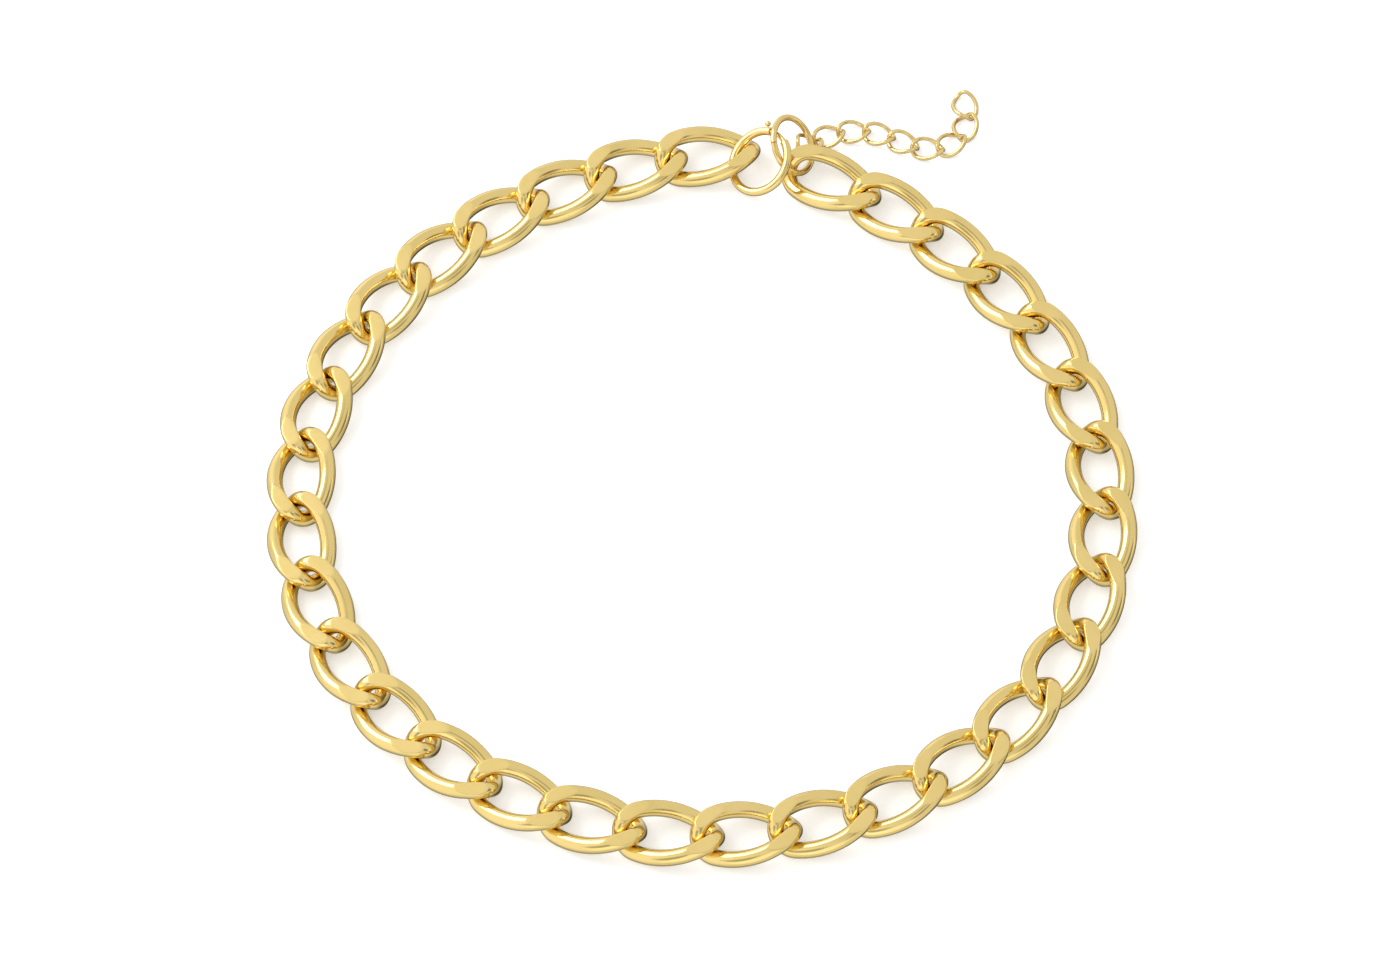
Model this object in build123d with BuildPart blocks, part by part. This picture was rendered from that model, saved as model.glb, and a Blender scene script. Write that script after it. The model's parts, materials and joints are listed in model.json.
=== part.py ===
from build123d import *
import math
import os

os.makedirs("parts", exist_ok=True)

# Driving dimensions, in millimetres and degrees.

# Main curb chain. A link is an oval of round wire, given a twist and ground flat above and below.
link_count = 32
link_wire = 2.7
link_pitch = 12.4
link_play = 0.3
link_width = 11.3
link_end_tilt = 50.0
link_side_slope = 15.0
chain_thickness = 4.5

# The worn shape: an egg-shaped loop walked link by link from the front link.
front_link = 17
front_x = -5.15
front_y = -68.17
front_heading = -4.9
turn_per_link = 10.44
egg_turn = 5.7
oval_turn = -4.5

# Extender chain, of the same curb link in fine wire.
fine_wire = 0.7
fine_pitch = 4.4
fine_play = 0.22
fine_width = 4.6
fine_end_tilt = 55.0
fine_side_slope = 20.0
fine_thickness = 1.8
# Its first link leans on the jump ring; the others lie flat, from the pivot that they share.
extender_x = 19.63
extender_y = 64.0
first_heading = 41.0
first_dip = 27.2
first_roll = 6.7
extender_headings = [22, 2, -18, -27, -5, 35, 73, 106]

# Clasp: a slim spring ring, a bent tube with a gate pin that slides round inside it.
# Angles run counter-clockwise about the ring's own axis.
clasp_radius = 5.4
clasp_tube_radius = 0.72
clasp_bore_radius = 0.46
gap_start = 22.0
gap_end = 60.0
socket_depth = 8.0
gate_radius = 0.4
gate_entry = 6.0
gate_tail_angle = 77.0
gate_travel = 42.0
knob_angle = 70.0
knob_reach = 1.3
knob_radius = 0.5
stem_radius = 0.2
slot_margin = 5.0
slot_width = 0.56
bore_end = 152.0
spring_wire = 0.2
spring_coil_radius = 0.28
spring_turns = 11
clasp_x = 9.96
clasp_y = 57.66
clasp_height = 4.05
clasp_lean = 33.5
clasp_lean_heading = 198.4

# Jump ring that ties the chain, the clasp and the extender together.
ring_radius = 4.83
ring_wire = 1.1
ring_seam = 1.0
ring_seam_angle = 200.0
ring_x = 15.53
ring_y = 60.74
ring_height = 4.32
ring_lean = 48.2
ring_lean_heading = 349.2


def half_turn(part):
    return part.rotate(Axis.Z, 180)


def arc_joint(start, start_way, end, end_way):
    # The point where two tangent arcs of equal reach meet.
    step = end - start
    ways = start_way + end_way
    spread = 2 * (1 - start_way.dot(end_way))
    along = step.dot(ways)
    reach = (math.sqrt(along * along + spread * step.dot(step)) - along) / spread
    return (start + start_way * reach + end - end_way * reach) * 0.5


def curb_link(wire, pitch, play, width, end_tilt, side_slope, thickness):
    reach = (pitch + wire + play) / 2
    tilt = math.radians(end_tilt)
    slope = math.radians(side_slope)
    front = Vector(reach, 0, 0)
    front_way = Vector(0, math.cos(tilt), -math.sin(tilt))
    side = Vector(0, (width - wire) / 2, 0)
    side_way = Vector(-math.cos(slope), 0, math.sin(slope))
    back = Vector(-reach, 0, 0)
    back_way = Vector(0, -math.cos(tilt), -math.sin(tilt))
    front_joint = arc_joint(front, front_way, side, side_way)
    back_joint = arc_joint(side, side_way, back, back_way)
    with BuildPart() as half:
        with BuildLine() as centre_line:
            leaving = TangentArc(front, front_joint, tangent=front_way)
            rising = TangentArc(front_joint, side, tangent=leaving % 1)
            crossing = TangentArc(side, back_joint, tangent=rising % 1)
            TangentArc(back_joint, back, tangent=crossing % 1)
        with BuildSketch(Plane(origin=front, z_dir=front_way)):
            Circle(wire / 2)
        sweep(path=centre_line.wires()[0])
    with BuildPart() as link:
        add(half.part)
        add(half_turn(half.part))
        split(bisect_by=Plane.XY.offset(thickness / 2), keep=Keep.BOTTOM)
        split(bisect_by=Plane.XY.offset(-thickness / 2), keep=Keep.TOP)
    return link.part


def way(heading):
    return Vector(math.cos(math.radians(heading)), math.sin(math.radians(heading)), 0)


def loop_heading(number):
    step = number - front_link
    phase = 2 * math.pi * step / link_count
    waves = egg_turn * math.sin(phase) + oval_turn * math.sin(2 * phase)
    return front_heading + turn_per_link * step + waves


def walk(start, headings, pitch):
    # Link centres along a chain, each half a pitch beyond the joint it shares with the last.
    centres = [start]
    for last, heading in zip(headings, headings[1:]):
        centres.append(centres[-1] + (way(last) + way(heading)) * (pitch / 2))
    return centres


# Poses of the main links on the table, numbered counter-clockwise from the clasp.
link_headings = [loop_heading(number) for number in range(1, link_count + 1)]
front = Vector(front_x, front_y, chain_thickness / 2)
right_arm = walk(front, link_headings[front_link - 1:], link_pitch)
left_arm = walk(front, link_headings[front_link - 1::-1], -link_pitch)
link_centres = left_arm[:0:-1] + right_arm

main_link = curb_link(
    link_wire, link_pitch, link_play, link_width, link_end_tilt, link_side_slope, chain_thickness
)
for number in range(1, link_count + 1):
    pose = Location(link_centres[number - 1], (0, 0, link_headings[number - 1]))
    with BuildPart() as link:
        add(main_link.moved(pose))
    link.part.label = f"link_{number:02d}"
    export_step(link.part, f"parts/link_{number:02d}.step")

# Extender chain, numbered outward from the jump ring.
fine_link = curb_link(
    fine_wire, fine_pitch, fine_play, fine_width, fine_end_tilt, fine_side_slope, fine_thickness
)
extender_pivot = Vector(extender_x, extender_y, fine_thickness / 2)
first_turn = Rot(0, 0, first_heading) * Rot(0, first_dip, 0) * Rot(first_roll, 0, 0)
first_pose = Pos(extender_pivot) * first_turn * Pos(-fine_pitch / 2, 0, 0)
second_centre = extender_pivot + way(extender_headings[0]) * (fine_pitch / 2)
extender_poses = [first_pose]
for centre, heading in zip(walk(second_centre, extender_headings, fine_pitch), extender_headings):
    extender_poses.append(Location(centre, (0, 0, heading)))
for number, pose in enumerate(extender_poses, start=1):
    with BuildPart() as extender:
        add(fine_link.moved(pose))
    extender.part.label = f"extender_link_{number:02d}"
    export_step(extender.part, f"parts/extender_link_{number:02d}.step")


def ring_section(angle):
    # Plane through a ring's axis: x runs outward at the given angle, y runs up the axis.
    outward = way(angle)
    return Plane(origin=(0, 0, 0), x_dir=outward, z_dir=outward.cross(Vector(0, 0, 1)))


def tilted(x, y, z, lean, lean_heading):
    # Location of a ring whose axis leans from the vertical toward the given heading.
    upright = Vector(0, 0, 1)
    axis = upright * math.cos(math.radians(lean)) + way(lean_heading) * math.sin(math.radians(lean))
    return Location(Plane(origin=(x, y, z), x_dir=(1, 0, -axis.X / axis.Z), z_dir=axis))


clasp_place = tilted(clasp_x, clasp_y, clasp_height, clasp_lean, clasp_lean_heading)
ring_place = tilted(ring_x, ring_y, ring_height, ring_lean, ring_lean_heading)

# Clasp body: the tube, its blind socket across the gap, its long bore and the knob's slot.
with BuildPart() as clasp_tube:
    with BuildSketch(ring_section(gap_end)):
        with Locations((clasp_radius, 0)):
            Circle(clasp_tube_radius)
    revolve(axis=Axis.Z, revolution_arc=360 - gap_end + gap_start)
    with BuildSketch(ring_section(gap_end)):
        with Locations((clasp_radius, 0)):
            Circle(clasp_bore_radius)
    revolve(axis=Axis.Z, revolution_arc=bore_end - gap_end, mode=Mode.SUBTRACT)
    with BuildSketch(ring_section(gap_start - socket_depth)):
        with Locations((clasp_radius, 0)):
            Circle(clasp_bore_radius)
    revolve(axis=Axis.Z, revolution_arc=socket_depth, mode=Mode.SUBTRACT)
    with BuildSketch(ring_section(knob_angle - slot_margin)):
        with Locations((clasp_radius + clasp_tube_radius, 0)):
            Rectangle(clasp_tube_radius * 2, slot_width)
    revolve(axis=Axis.Z, revolution_arc=gate_travel + 2 * slot_margin, mode=Mode.SUBTRACT)
with BuildPart() as clasp_ring:
    add(clasp_tube.part.moved(clasp_place))
clasp_ring.part.label = "clasp_ring"
export_step(clasp_ring.part, "parts/clasp_ring.step")

# Gate pin with its thumb knob.
knob_plane = ring_section(knob_angle)
with BuildPart() as gate_pin:
    with BuildSketch(ring_section(gap_start - gate_entry)):
        with Locations((clasp_radius, 0)):
            Circle(gate_radius)
    revolve(axis=Axis.Z, revolution_arc=gate_tail_angle - gap_start + gate_entry)
    with BuildSketch(Plane(origin=knob_plane.x_dir * clasp_radius, z_dir=knob_plane.x_dir)):
        Circle(stem_radius)
    extrude(amount=knob_reach)
    with Locations(knob_plane.x_dir * (clasp_radius + knob_reach)):
        Sphere(knob_radius)
with BuildPart() as clasp_gate:
    add(gate_pin.part.moved(clasp_place))
clasp_gate.part.label = "clasp_gate"
export_step(clasp_gate.part, "parts/clasp_gate.step")

# Coil spring that pushes the gate shut, wound round the bore behind the gate's tail.
coil_span = bore_end - gate_tail_angle - 2.0
coil_points = []
coil_steps = spring_turns * 12
for step in range(coil_steps + 1):
    share = step / coil_steps
    turn = 2 * math.pi * spring_turns * share
    outward = way(gate_tail_angle + 1.0 + coil_span * share)
    radial = outward * (clasp_radius + spring_coil_radius * math.cos(turn))
    coil_points.append(radial + Vector(0, 0, spring_coil_radius * math.sin(turn)))
with BuildPart() as coil:
    with BuildLine() as coil_line:
        Spline(coil_points)
    with BuildSketch(Plane(origin=coil_line.edges()[0] @ 0, z_dir=coil_line.edges()[0] % 0)):
        Circle(spring_wire / 2)
    sweep(path=coil_line.wires()[0])
with BuildPart() as clasp_spring:
    add(coil.part.moved(clasp_place))
clasp_spring.part.label = "clasp_spring"
export_step(clasp_spring.part, "parts/clasp_spring.step")

# Jump ring, bent from round wire with a fine butt seam.
with BuildPart() as ring_wire_bend:
    with BuildSketch(ring_section(ring_seam_angle)):
        with Locations((ring_radius, 0)):
            Circle(ring_wire / 2)
    revolve(axis=Axis.Z, revolution_arc=360 - ring_seam)
with BuildPart() as jump_ring:
    add(ring_wire_bend.part.moved(ring_place))
jump_ring.part.label = "jump_ring"
export_step(jump_ring.part, "parts/jump_ring.step")
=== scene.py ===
import json
import math

import bpy
import numpy as np
from mathutils import Matrix, Vector


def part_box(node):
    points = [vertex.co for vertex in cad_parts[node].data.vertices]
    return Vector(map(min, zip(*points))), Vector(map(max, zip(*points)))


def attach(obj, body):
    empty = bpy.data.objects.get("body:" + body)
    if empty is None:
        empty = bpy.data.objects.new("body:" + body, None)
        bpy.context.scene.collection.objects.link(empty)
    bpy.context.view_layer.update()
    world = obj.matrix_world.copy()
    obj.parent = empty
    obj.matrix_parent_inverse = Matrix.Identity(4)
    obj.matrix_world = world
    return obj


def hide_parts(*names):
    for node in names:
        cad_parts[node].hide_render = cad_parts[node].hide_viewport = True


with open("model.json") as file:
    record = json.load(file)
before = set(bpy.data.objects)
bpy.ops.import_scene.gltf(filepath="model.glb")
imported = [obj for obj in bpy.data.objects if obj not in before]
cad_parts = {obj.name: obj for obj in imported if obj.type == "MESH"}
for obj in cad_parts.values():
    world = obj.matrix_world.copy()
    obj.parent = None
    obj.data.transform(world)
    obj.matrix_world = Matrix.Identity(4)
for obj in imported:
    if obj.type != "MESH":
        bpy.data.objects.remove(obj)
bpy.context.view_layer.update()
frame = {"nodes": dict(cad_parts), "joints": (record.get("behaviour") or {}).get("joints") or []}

MM = 0.001
UP = Vector((0, 0, 1))
RING_AXIS = np.array([0, 0, 1])
JOINTS = {joint["name"]: joint for joint in frame["joints"]}

# The two kinds of curb link, in millimetres and degrees.
MAIN = dict(wire=2.7, pitch=12.4, play=0.3, width=11.3, end_tilt=50, side_slope=15, thickness=4.5)
FINE = dict(wire=0.7, pitch=4.4, play=0.22, width=4.6, end_tilt=55, side_slope=20, thickness=1.8)
MAIN_COUNT = 32
FINE_COUNT = 9
FRONT_LINK = 17

# Where the points round a wire stand about a ground flat, as shares of the flat's half angle.
FLAT_POINTS = np.array([-1.15, -1.05, -1, -0.95, -0.85, -0.5, 0, 0.5, 0.85, 0.95, 1, 1.05, 1.15])
LEAST_FLAT_ANGLE = 0.25

# The spring ring, with angles counter-clockwise about its own axis.
CLASP_RADIUS = 5.4
TUBE_RADIUS = 0.72
BORE_RADIUS = 0.46
BORE_SHOWN = 5
RIM = 0.06
RIM_TURN = 0.7
TUBE_COLUMNS = 48
GAP_START = 22
GAP_END = 60
GATE_RADIUS = 0.4
GATE_START = 16
GATE_END = 77
GATE_TIP = 0.7
PIN_COLUMNS = 24
KNOB_ANGLE = 70
KNOB_REACH = 1.3
KNOB_RADIUS = 0.5
STEM_RADIUS = 0.2
STEM_ROOT = 0.6
KNOB_TIP = 0.02
KNOB_STEPS = 24
SLOT_START = 65
SLOT_END = 117
SLOT_HALF = 0.28
SLOT_FLOOR = 0.3
SPRING_START = 78
SPRING_END = 151
SPRING_TURNS = 11
SPRING_COIL = 0.28
SPRING_WIRE = 0.1
SPRING_STEPS = 16
SPRING_COLUMNS = 8

# The jump ring.
RING_RADIUS = 4.83
RING_WIRE_RADIUS = 0.55
RING_SEAM_START = 200
RING_SEAM = 1
SEAM_TURN = 0.6
RING_COLUMNS = 32


# Curves and meshes

def arc(start, way, end, count):
    """Points on the arc that leaves start along way and reaches end, without the end itself."""
    chord = end - start
    along = chord.dot(way)
    side = (chord - way * along).normalized()
    across = chord.dot(side)
    radius = chord.length_squared / (2 * across)
    angle = 2 * math.atan2(across, along)
    turns = [angle * i / count for i in range(count)]
    return [start + way * (radius * math.sin(t)) + side * (radius * (1 - math.cos(t))) for t in turns]


def bend(start, start_way, end, end_way, count):
    """Points on the pair of tangent arcs from start to end, without the end itself."""
    step = end - start
    ways = start_way + end_way
    spread = 2 * (1 - start_way.dot(end_way))
    along = step.dot(ways)
    reach = (math.sqrt(along * along + spread * step.length_squared) - along) / spread
    joint = (start + start_way * reach + end - end_way * reach) / 2
    arriving = arc(end, -end_way, joint, count)
    return arc(start, start_way, joint, count) + [joint] + arriving[:0:-1]


def curb_line(size, count):
    """Closed centre line of a twisted oval link, starting from its forward end."""
    reach = (size["pitch"] + size["wire"] + size["play"]) / 2
    tilt = math.radians(size["end_tilt"])
    slope = math.radians(size["side_slope"])
    front = Vector((reach, 0, 0))
    front_way = Vector((0, math.cos(tilt), -math.sin(tilt)))
    side = Vector((0, (size["width"] - size["wire"]) / 2, 0))
    side_way = Vector((-math.cos(slope), 0, math.sin(slope)))
    back_way = Vector((0, -math.cos(tilt), -math.sin(tilt)))
    half = bend(front, front_way, side, side_way, count) + bend(side, side_way, -front, back_way, count)
    return np.array(half + [Vector((-p.x, -p.y, p.z)) for p in half])


def soft_least(a, b, blend):
    """The lesser of two values, with the corner between them rounded off."""
    return (a + b - np.sqrt((a - b) ** 2 + blend ** 2)) / 2


def curb_rows(size, count, columns, edge):
    """Rows of points round the wire of a link, ground flat above and below with softened edges."""
    line = curb_line(size, count)
    radius = size["wire"] / 2
    height = size["thickness"] / 2
    way = np.roll(line, -1, 0) - np.roll(line, 1, 0)
    way /= np.linalg.norm(way, axis=1)[:, None]
    rise = np.array([0, 0, 1.0]) - way * way[:, 2:3]
    rise /= np.linalg.norm(rise, axis=1)[:, None]
    across = np.cross(way, rise)
    top = (height - line[:, 2]) / rise[:, 2]
    low = (height + line[:, 2]) / rise[:, 2]
    top_half = np.maximum(np.arccos(np.clip(top / radius, -1, 1)), LEAST_FLAT_ANGLE)
    low_half = np.maximum(np.arccos(np.clip(low / radius, -1, 1)), LEAST_FLAT_ANGLE)
    inside = np.arange(1, columns + 1) / (columns + 1)
    rows = []
    flats = []
    for i in range(len(line)):
        top_angles = FLAT_POINTS * top_half[i]
        low_angles = math.pi + FLAT_POINTS * low_half[i]
        right = top_angles[-1] + (low_angles[0] - top_angles[-1]) * inside
        left = low_angles[-1] + (2 * math.pi + top_angles[0] - low_angles[-1]) * inside
        angles = np.concatenate([top_angles, right, low_angles, left])
        u = radius * np.sin(angles)
        w = radius * np.cos(angles)
        ground = soft_least(w, top[i], edge)
        ground = -soft_least(-ground, low[i], edge)
        rows.append(line[i] + u[:, None] * across[i] + ground[:, None] * rise[i])
        flats.append(np.clip(np.abs(w - ground) / (2 * edge), 0, 1))
    return np.array(rows), np.array(flats)


def tube(name, rows, closed, ground):
    """Mesh from rows of points, each row once round the wire, with a value for how ground each is."""
    count, columns = rows.shape[:2]
    faces = []
    for r in range(count if closed else count - 1):
        here = r * columns
        there = (r + 1) % count * columns
        for c in range(columns):
            d = (c + 1) % columns
            faces.append((here + c, there + c, there + d, here + d))
    if not closed:
        faces.append(tuple(range(columns)))
        faces.append(tuple(range(count * columns - 1, (count - 1) * columns - 1, -1)))
    mesh = bpy.data.meshes.new(name)
    mesh.from_pydata((rows.reshape(-1, 3) * MM).tolist(), [], faces)
    mesh.polygons.foreach_set("use_smooth", [len(face) == 4 for face in faces])
    layer = mesh.attributes.new("ground", "FLOAT", "POINT")
    layer.data.foreach_set("value", np.asarray(ground, np.float32).ravel())
    mesh.validate()
    return mesh


def place(name, mesh, matrix, body, nodes, material):
    """Visible piece from a mesh, moved into the frame, riding a body in place of CAD nodes."""
    piece = bpy.data.objects.new(name, mesh)
    bpy.context.scene.collection.objects.link(piece)
    mesh.transform(matrix)
    mesh.materials.append(material)
    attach(piece, body)
    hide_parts(*nodes)
    return piece


def upright(centre, along, normal):
    """Matrix whose x runs along the given direction and whose z is nearest to the given normal."""
    x = along.normalized()
    y = normal.cross(x).normalized()
    z = x.cross(y)
    matrix = Matrix((x, y, z)).transposed().to_4x4()
    matrix.translation = centre
    return matrix


def middle(node):
    low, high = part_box(node)
    return (low + high) / 2


def flat_axis(node):
    """The direction in which a node's vertices spread least."""
    mesh = frame["nodes"][node].data
    points = np.zeros(len(mesh.vertices) * 3)
    mesh.vertices.foreach_get("co", points)
    points = points.reshape(-1, 3)
    values, vectors = np.linalg.eigh(np.cov((points - points.mean(0)).T))
    axis = Vector(vectors[:, 0])
    return axis if axis.z > 0 else -axis


def joint_point(name):
    return Vector(JOINTS[name]["pos_m"])


# Materials

def noise(tree, scale, detail):
    """Noise over the piece's own coordinates, its scale in waves per metre."""
    where = tree.nodes.new("ShaderNodeTexCoord")
    texture = tree.nodes.new("ShaderNodeTexNoise")
    texture.inputs["Scale"].default_value = scale
    texture.inputs["Detail"].default_value = detail
    tree.links.new(where.outputs["Object"], texture.inputs["Vector"])
    return texture.outputs["Fac"]


def spread(tree, value, low, high):
    """A value of 0 to 1 laid out from low to high."""
    reach = tree.nodes.new("ShaderNodeMapRange")
    reach.inputs["To Min"].default_value = low
    reach.inputs["To Max"].default_value = high
    tree.links.new(value, reach.inputs["Value"])
    return reach.outputs["Result"]


def bump(tree, height, strength, depth):
    relief = tree.nodes.new("ShaderNodeBump")
    relief.inputs["Strength"].default_value = strength
    relief.inputs["Distance"].default_value = depth
    tree.links.new(height, relief.inputs["Height"])
    return relief


def gold(name, tint, round_roughness, flat_roughness, grain):
    """Gold plate, glossy where it is round and satin where it was ground."""
    material = bpy.data.materials.new(name)
    material.use_nodes = True
    tree = material.node_tree
    shader = tree.nodes["Principled BSDF"]
    shader.inputs["Metallic"].default_value = 1

    colour = tree.nodes.new("ShaderNodeValToRGB")
    deeper, full = colour.color_ramp.elements
    deeper.position = 0.3
    deeper.color = [c * 0.93 for c in tint[:2]] + [tint[2] * 0.86, 1]
    full.position = 0.7
    full.color = [*tint, 1]
    tree.links.new(noise(tree, scale=160, detail=3), colour.inputs["Fac"])
    tree.links.new(colour.outputs["Color"], shader.inputs["Base Color"])

    ground = tree.nodes.new("ShaderNodeAttribute")
    ground.attribute_name = "ground"
    smears = spread(tree, noise(tree, scale=900, detail=4), -0.04, 0.05)
    roughness = tree.nodes.new("ShaderNodeMath")
    roughness.operation = "ADD"
    base = spread(tree, ground.outputs["Fac"], round_roughness, flat_roughness)
    tree.links.new(base, roughness.inputs[0])
    tree.links.new(smears, roughness.inputs[1])
    tree.links.new(roughness.outputs["Value"], shader.inputs["Roughness"])

    specks = bump(tree, noise(tree, scale=3200, detail=2), grain, 0.00002)
    waves = bump(tree, noise(tree, scale=420, detail=1), 0.25, 0.00006)
    tree.links.new(specks.outputs["Normal"], waves.inputs["Normal"])
    tree.links.new(waves.outputs["Normal"], shader.inputs["Normal"])
    return material


MAIN_GOLD = gold("main gold", (0.89, 0.68, 0.27), 0.13, 0.32, 0.3)
FINE_GOLD = gold("fine gold", (0.86, 0.66, 0.30), 0.18, 0.3, 0.15)
RING_GOLD = gold("ring gold", (0.88, 0.66, 0.27), 0.13, 0.3, 0.15)
STEEL = gold("spring steel", (0.55, 0.53, 0.5), 0.3, 0.3, 0.2)


# Links

def add_link(name, node, size, pose, count, columns, edge, material):
    rows, flats = curb_rows(size, count, columns, edge)
    place(name, tube(name, rows, True, flats), pose, node, [node], material)


def main_pose(number):
    """Pose of a main link, which lies flat along the line to the joint that it shares."""
    node = f"link_{number:02d}"
    centre = middle(node)
    if number < FRONT_LINK:
        along = joint_point(node + "_hinge") - centre
    elif number > FRONT_LINK:
        along = centre - joint_point(node + "_hinge")
    else:
        along = joint_point(f"link_{number + 1:02d}_hinge") - centre
    along.z = 0
    return upright(centre, along, UP)


def fine_pose(number):
    """Pose of an extender link; the first leans, so its centre comes from its two joints."""
    node = f"extender_link_{number:02d}"
    pivot = joint_point(node + "_hinge")
    centre = middle(node)
    if number == 1:
        centre = (pivot + joint_point("extender_link_02_hinge")) / 2
    return upright(centre, centre - pivot, flat_axis(node))


for number in range(1, MAIN_COUNT + 1):
    name = f"curb_link_{number:02d}"
    add_link(name, f"link_{number:02d}", MAIN, main_pose(number), 16, 8, 0.05, MAIN_GOLD)

for number in range(1, FINE_COUNT + 1):
    name = f"fine_link_{number:02d}"
    add_link(name, f"extender_link_{number:02d}", FINE, fine_pose(number), 8, 4, 0.02, FINE_GOLD)


# Rings

def spoke(angle):
    """Unit vector across a ring's axis, at an angle about it."""
    return np.array([math.cos(math.radians(angle)), math.sin(math.radians(angle)), 0])


def torus_rows(radius, wire, start, end, steps, columns, groove=None):
    """Rows of points round a wire of one thickness, bent about z from one angle to another."""
    turns = np.linspace(0, 2 * math.pi, columns, endpoint=False)
    reach = wire * np.cos(turns)
    rise = wire * np.sin(turns)
    rows = []
    for angle in np.linspace(start, end, steps):
        out = reach
        if groove and groove["start"] < angle < groove["end"]:
            out = np.where((reach > 0) & (np.abs(rise) < groove["half"]), groove["floor"], reach)
        rows.append((radius + out)[:, None] * spoke(angle) + rise[:, None] * RING_AXIS)
    return rows


def clasp_tube_rows():
    """The clasp's tube, with the knob's groove, and a rim and a sunk bore at each end."""
    groove = dict(start=SLOT_START, end=SLOT_END, half=SLOT_HALF, floor=SLOT_FLOOR)
    first = GAP_END
    last = GAP_START + 360
    rim = TUBE_RADIUS - RIM
    rows = torus_rows(CLASP_RADIUS, BORE_RADIUS, first + BORE_SHOWN, first, 2, TUBE_COLUMNS)
    rows += torus_rows(CLASP_RADIUS, rim, first, first, 1, TUBE_COLUMNS)
    first += RIM_TURN
    rows += torus_rows(CLASP_RADIUS, TUBE_RADIUS, first, last - RIM_TURN, 200, TUBE_COLUMNS, groove)
    rows += torus_rows(CLASP_RADIUS, rim, last, last, 1, TUBE_COLUMNS)
    rows += torus_rows(CLASP_RADIUS, BORE_RADIUS, last, last - BORE_SHOWN, 2, TUBE_COLUMNS)
    return rows


def gate_rows():
    """The gate pin, with a chamfer at each end."""
    tip = GATE_RADIUS * GATE_TIP
    rows = torus_rows(CLASP_RADIUS, tip, GATE_START, GATE_START, 1, PIN_COLUMNS)
    rows += torus_rows(CLASP_RADIUS, GATE_RADIUS, GATE_START + 1, GATE_END - 1, 40, PIN_COLUMNS)
    rows += torus_rows(CLASP_RADIUS, tip, GATE_END, GATE_END, 1, PIN_COLUMNS)
    return rows


def knob_rows():
    """The gate's stem and ball, as rings of points along the knob's spoke."""
    outward = spoke(KNOB_ANGLE)
    sideways = spoke(KNOB_ANGLE + 90)
    profile = [(CLASP_RADIUS + GATE_RADIUS * STEM_ROOT, STEM_RADIUS)]
    for step in range(KNOB_STEPS + 1):
        turn = math.pi * (1 - step / KNOB_STEPS)
        least = STEM_RADIUS if step < KNOB_STEPS / 2 else KNOB_TIP
        reach = CLASP_RADIUS + KNOB_REACH + KNOB_RADIUS * math.cos(turn)
        profile.append((reach, max(KNOB_RADIUS * math.sin(turn), least)))
    turns = np.linspace(0, 2 * math.pi, PIN_COLUMNS, endpoint=False)[:, None]
    circle = sideways * np.cos(turns) + RING_AXIS * np.sin(turns)
    return [outward * reach + width * circle for reach, width in profile]


def coil_rows():
    """The coil spring behind the gate's tail."""
    turns = np.linspace(0, 2 * math.pi, SPRING_COLUMNS, endpoint=False)[:, None]
    steps = SPRING_TURNS * SPRING_STEPS
    rows = []
    for step in range(steps + 1):
        angle = SPRING_START + (SPRING_END - SPRING_START) * step / steps
        turn = 2 * math.pi * step / SPRING_STEPS
        out = spoke(angle) * math.cos(turn) + RING_AXIS * math.sin(turn)
        centre = spoke(angle) * CLASP_RADIUS + out * SPRING_COIL
        circle = out * np.cos(turns) + spoke(angle + 90) * np.sin(turns)
        rows.append(centre + SPRING_WIRE * circle)
    return rows


def jump_ring_rows():
    """The jump ring, with a fine butt seam."""
    rim = RING_WIRE_RADIUS - RIM
    first = RING_SEAM_START
    last = RING_SEAM_START + 360 - RING_SEAM
    rows = torus_rows(RING_RADIUS, rim, first, first, 1, RING_COLUMNS)
    first += SEAM_TURN
    rows += torus_rows(RING_RADIUS, RING_WIRE_RADIUS, first, last - SEAM_TURN, 150, RING_COLUMNS)
    rows += torus_rows(RING_RADIUS, rim, last, last, 1, RING_COLUMNS)
    return rows


def ring_piece(name, rows, pose, node, body, material):
    rows = np.array(rows)
    mesh = tube(name, rows, False, np.zeros(rows.shape[:2]))
    mesh.set_sharp_from_angle(angle=math.radians(45))
    place(name, mesh, pose, body, [node], material)


def ring_pose(centre, axis):
    return upright(centre, Vector((1, 0, -axis.x / axis.z)), axis)


clasp_joint = JOINTS["clasp_ring_spin"]
clasp_pose = ring_pose(Vector(clasp_joint["pos_m"]), Vector(clasp_joint["axis"]).normalized())
jump_pose = ring_pose(middle("jump_ring"), flat_axis("jump_ring"))
ring_piece("clasp_tube", clasp_tube_rows(), clasp_pose, "clasp_ring", "clasp_ring", RING_GOLD)
ring_piece("clasp_gate_pin", gate_rows(), clasp_pose, "clasp_gate", "clasp_gate", RING_GOLD)
ring_piece("clasp_knob", knob_rows(), clasp_pose, "clasp_gate", "clasp_gate", RING_GOLD)
ring_piece("clasp_coil", coil_rows(), clasp_pose, "clasp_spring", "clasp_ring", STEEL)
ring_piece("jump_ring_wire", jump_ring_rows(), jump_pose, "jump_ring", "jump_ring", RING_GOLD)


# Floor and light

def plain(name, colour, glow):
    material = bpy.data.materials.new(name)
    material.use_nodes = True
    shader = material.node_tree.nodes["Principled BSDF"]
    shader.inputs["Base Color"].default_value = (*colour, 1)
    shader.inputs["Roughness"].default_value = 0.9
    shader.inputs["Specular IOR Level"].default_value = 0.1
    shader.inputs["Emission Color"].default_value = (1, 1, 1, 1)
    shader.inputs["Emission Strength"].default_value = glow
    return material


def toward(azimuth, elevation):
    """Direction at an azimuth, counted from the back towards the right, and an elevation."""
    turn = math.radians(azimuth)
    rise = math.radians(elevation)
    return Vector((math.sin(turn) * math.cos(rise), math.cos(turn) * math.cos(rise), math.sin(rise)))


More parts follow.
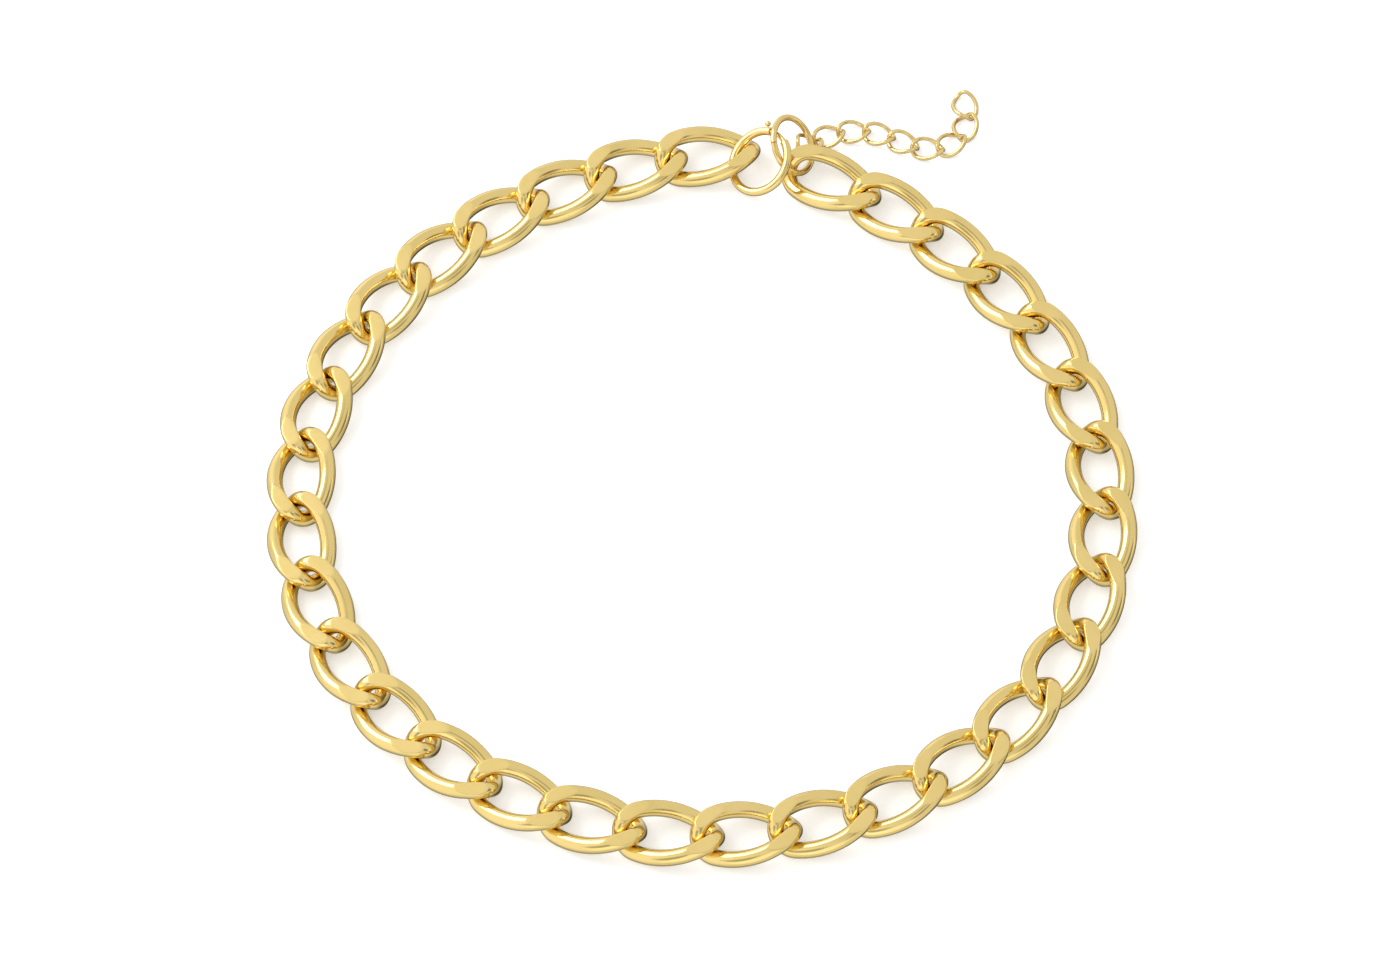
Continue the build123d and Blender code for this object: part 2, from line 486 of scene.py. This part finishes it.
def softbox(name, direction, distance, width, height, power):
    light = bpy.data.lights.new(name, "AREA")
    light.shape = "RECTANGLE"
    light.size = width
    light.size_y = height
    light.energy = power
    lamp = bpy.data.objects.new(name, light)
    bpy.context.scene.collection.objects.link(lamp)
    lamp.location = direction * distance
    lamp.rotation_euler = direction.to_track_quat("Z", "Y").to_euler()


FLOOR = 3.0
floor_mesh = bpy.data.meshes.new("floor")
corners = [(-FLOOR, -FLOOR, 0), (FLOOR, -FLOOR, 0), (FLOOR, FLOOR, 0), (-FLOOR, FLOOR, 0)]
floor_mesh.from_pydata(corners, [], [(0, 1, 2, 3)])
floor = bpy.data.objects.new("floor", floor_mesh)
bpy.context.scene.collection.objects.link(floor)
floor_mesh.materials.append(plain("pale floor", (0.9, 0.9, 0.9), 0.36))
floor.visible_glossy = False

# A white light tent: its walls' brightness, then patches brighter or darker than the walls, each
# with its azimuth, its elevation, the angles where it is full and where it ends, and its change.
TENT = 0.85
PATCHES = [
    (-120, 15, 15, 65, 0.3),
    (180, 12, 8, 35, 0.4),
    (-25, 8, 5, 35, 0.3),
    (-150, 36, 8, 20, -0.6),
    (150, 38, 5, 16, -0.45),
    (165, 76, 6, 16, -0.4),
    (104, 22, 5, 18, -0.6),
    (90, 0, 4, 12, 0.4),
    (80, -38, 18, 46, -0.36),
    (0, -80, 35, 62, -0.44),
]


def light_tent(level, patches):
    """World light of one level, plus round soft-edged patches."""
    world = bpy.data.worlds.new("tent")
    bpy.context.scene.world = world
    world.use_nodes = True
    tree = world.node_tree
    where = tree.nodes.new("ShaderNodeTexCoord")
    total = None
    for azimuth, elevation, inner, outer, change in patches:
        near = tree.nodes.new("ShaderNodeVectorMath")
        near.operation = "DOT_PRODUCT"
        near.inputs[1].default_value = toward(azimuth, elevation)
        tree.links.new(where.outputs["Generated"], near.inputs[0])
        patch = tree.nodes.new("ShaderNodeMapRange")
        patch.interpolation_type = "SMOOTHSTEP"
        patch.inputs["From Min"].default_value = math.cos(math.radians(outer))
        patch.inputs["From Max"].default_value = math.cos(math.radians(inner))
        patch.inputs["To Max"].default_value = change
        tree.links.new(near.outputs["Value"], patch.inputs["Value"])
        add = tree.nodes.new("ShaderNodeMath")
        add.operation = "ADD"
        add.inputs[1].default_value = level
        if total:
            tree.links.new(total, add.inputs[1])
        tree.links.new(patch.outputs["Result"], add.inputs[0])
        total = add.outputs["Value"]
    background = tree.nodes["Background"]
    background.inputs["Color"].default_value = (1, 1, 1, 1)
    tree.links.new(total, background.inputs["Strength"])


light_tent(TENT, PATCHES)
softbox("key box", toward(-60, 40), 0.9, 0.6, 0.6, 4)

# The camera looks down on the table from the front.
CAMERA_RISE = 60.0
CAMERA_DISTANCE = 1.033
CAMERA_LENS = 162.0
AIM = Vector((-0.00015, -0.0033, 0.00225))
camera_data = bpy.data.cameras.new("camera")
camera_data.lens = CAMERA_LENS
camera_data.clip_start = 0.01
camera = bpy.data.objects.new("camera", camera_data)
bpy.context.scene.collection.objects.link(camera)
rise = math.radians(CAMERA_RISE)
camera.location = AIM + Vector((0, -math.cos(rise), math.sin(rise))) * CAMERA_DISTANCE
camera.rotation_euler = (AIM - camera.location).to_track_quat("-Z", "Y").to_euler()
bpy.context.scene.camera = camera
bpy.context.scene.view_settings.view_transform = "Standard"
